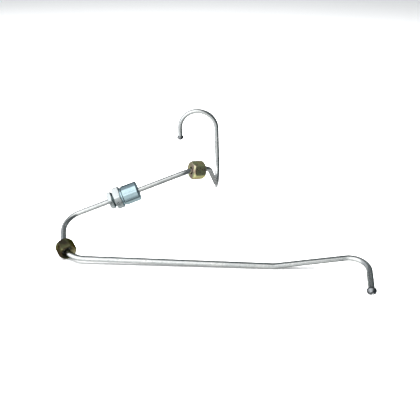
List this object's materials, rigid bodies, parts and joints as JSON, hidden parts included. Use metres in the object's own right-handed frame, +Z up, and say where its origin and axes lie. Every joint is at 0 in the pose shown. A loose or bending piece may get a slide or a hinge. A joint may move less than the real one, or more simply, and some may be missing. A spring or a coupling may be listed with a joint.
{
  "type": "bent high-pressure fuel pipe",
  "caption": "Rigid thick-walled pipe bent in space, with a cone head at each end, a loose hexagon union nut near each end and a screwed bulkhead gland on its middle run.",
  "frame": {"origin": "on the bench the pipe rests on, below the middle of the pipe's box", "axes": "+Z up from the bench, +X along the long run on the bench, +Y from the long run towards the hook"},
  "size_m": [0.323, 0.2589, 0.0986],
  "materials": {
    "tube_steel": "bright zinc plate over drawn steel",
    "nut_steel": "yellow chromate over zinc plate",
    "collar_steel": "plain turned steel",
    "gland_steel": "blue-white zinc plate",
    "bush_rubber": "moulded, matt"
  },
  "bodies": {
    "pipe": {"pipe": "tube_steel"},
    "collar_a": {"thrust_collar_a": "collar_steel"},
    "nut_a": {"union_nut_a": "nut_steel"},
    "collar_b": {"thrust_collar_b": "collar_steel"},
    "nut_b": {"union_nut_b": "nut_steel"},
    "gland_bush": {"sealing_bush": "bush_rubber"},
    "gland_body": {"gland_body": "gland_steel"},
    "gland_washer": {"gland_washer": "collar_steel"},
    "gland_nut": {"gland_nut": "gland_steel"}
  },
  "joints": [
    {"name": "nut_a_travel", "type": "hinge", "parent": "pipe", "child": "collar_a", "pos_m": [-0.03474, 0.03322, 0.03745], "axis": [0.3901, -0.6022, -0.6965], "range_deg": [-39, 20]},
    {"name": "nut_a_spin", "type": "hinge", "parent": "collar_a", "child": "nut_a", "pos_m": [-0.01608, 0.01514, 0.06238], "axis": [0.847, 0.5061, -0.163], "continuous": true},
    {"name": "nut_b_travel", "type": "hinge", "parent": "pipe", "child": "collar_b", "pos_m": [-0.12685, -0.05568, 0.01387], "axis": [0.0155, -0.2757, 0.9611], "range_deg": [-9, 36]},
    {"name": "nut_b_spin", "type": "hinge", "parent": "collar_b", "child": "nut_b", "pos_m": [-0.1488, -0.07139, 0.01045], "axis": [0.5793, -0.7758, -0.2501], "continuous": true},
    {"name": "gland_travel", "type": "slide", "parent": "pipe", "child": "gland_bush", "axis": [0.9207, 0.2672, 0.2846], "range_m": [-0.035, 0.044]},
    {"name": "gland_body_spin", "type": "hinge", "parent": "gland_bush", "child": "gland_body", "pos_m": [-0.10634, -0.0148, 0.03886], "axis": [0.9207, 0.2672, 0.2846], "continuous": true},
    {"name": "gland_nut_travel", "type": "slide", "parent": "gland_body", "child": "gland_washer", "axis": [0.9207, 0.2672, 0.2846], "range_m": [-0.00451, 0.00151]},
    {"name": "gland_nut_spin", "type": "hinge", "parent": "gland_washer", "child": "gland_nut", "pos_m": [-0.10634, -0.0148, 0.03886], "axis": [0.9207, 0.2672, 0.2846], "range_deg": [-1080, 360]}
  ],
  "couplings": [
    {"joint": "gland_nut_travel", "follows": "gland_nut_spin", "m_per_rad": 0.00023873}
  ]
}
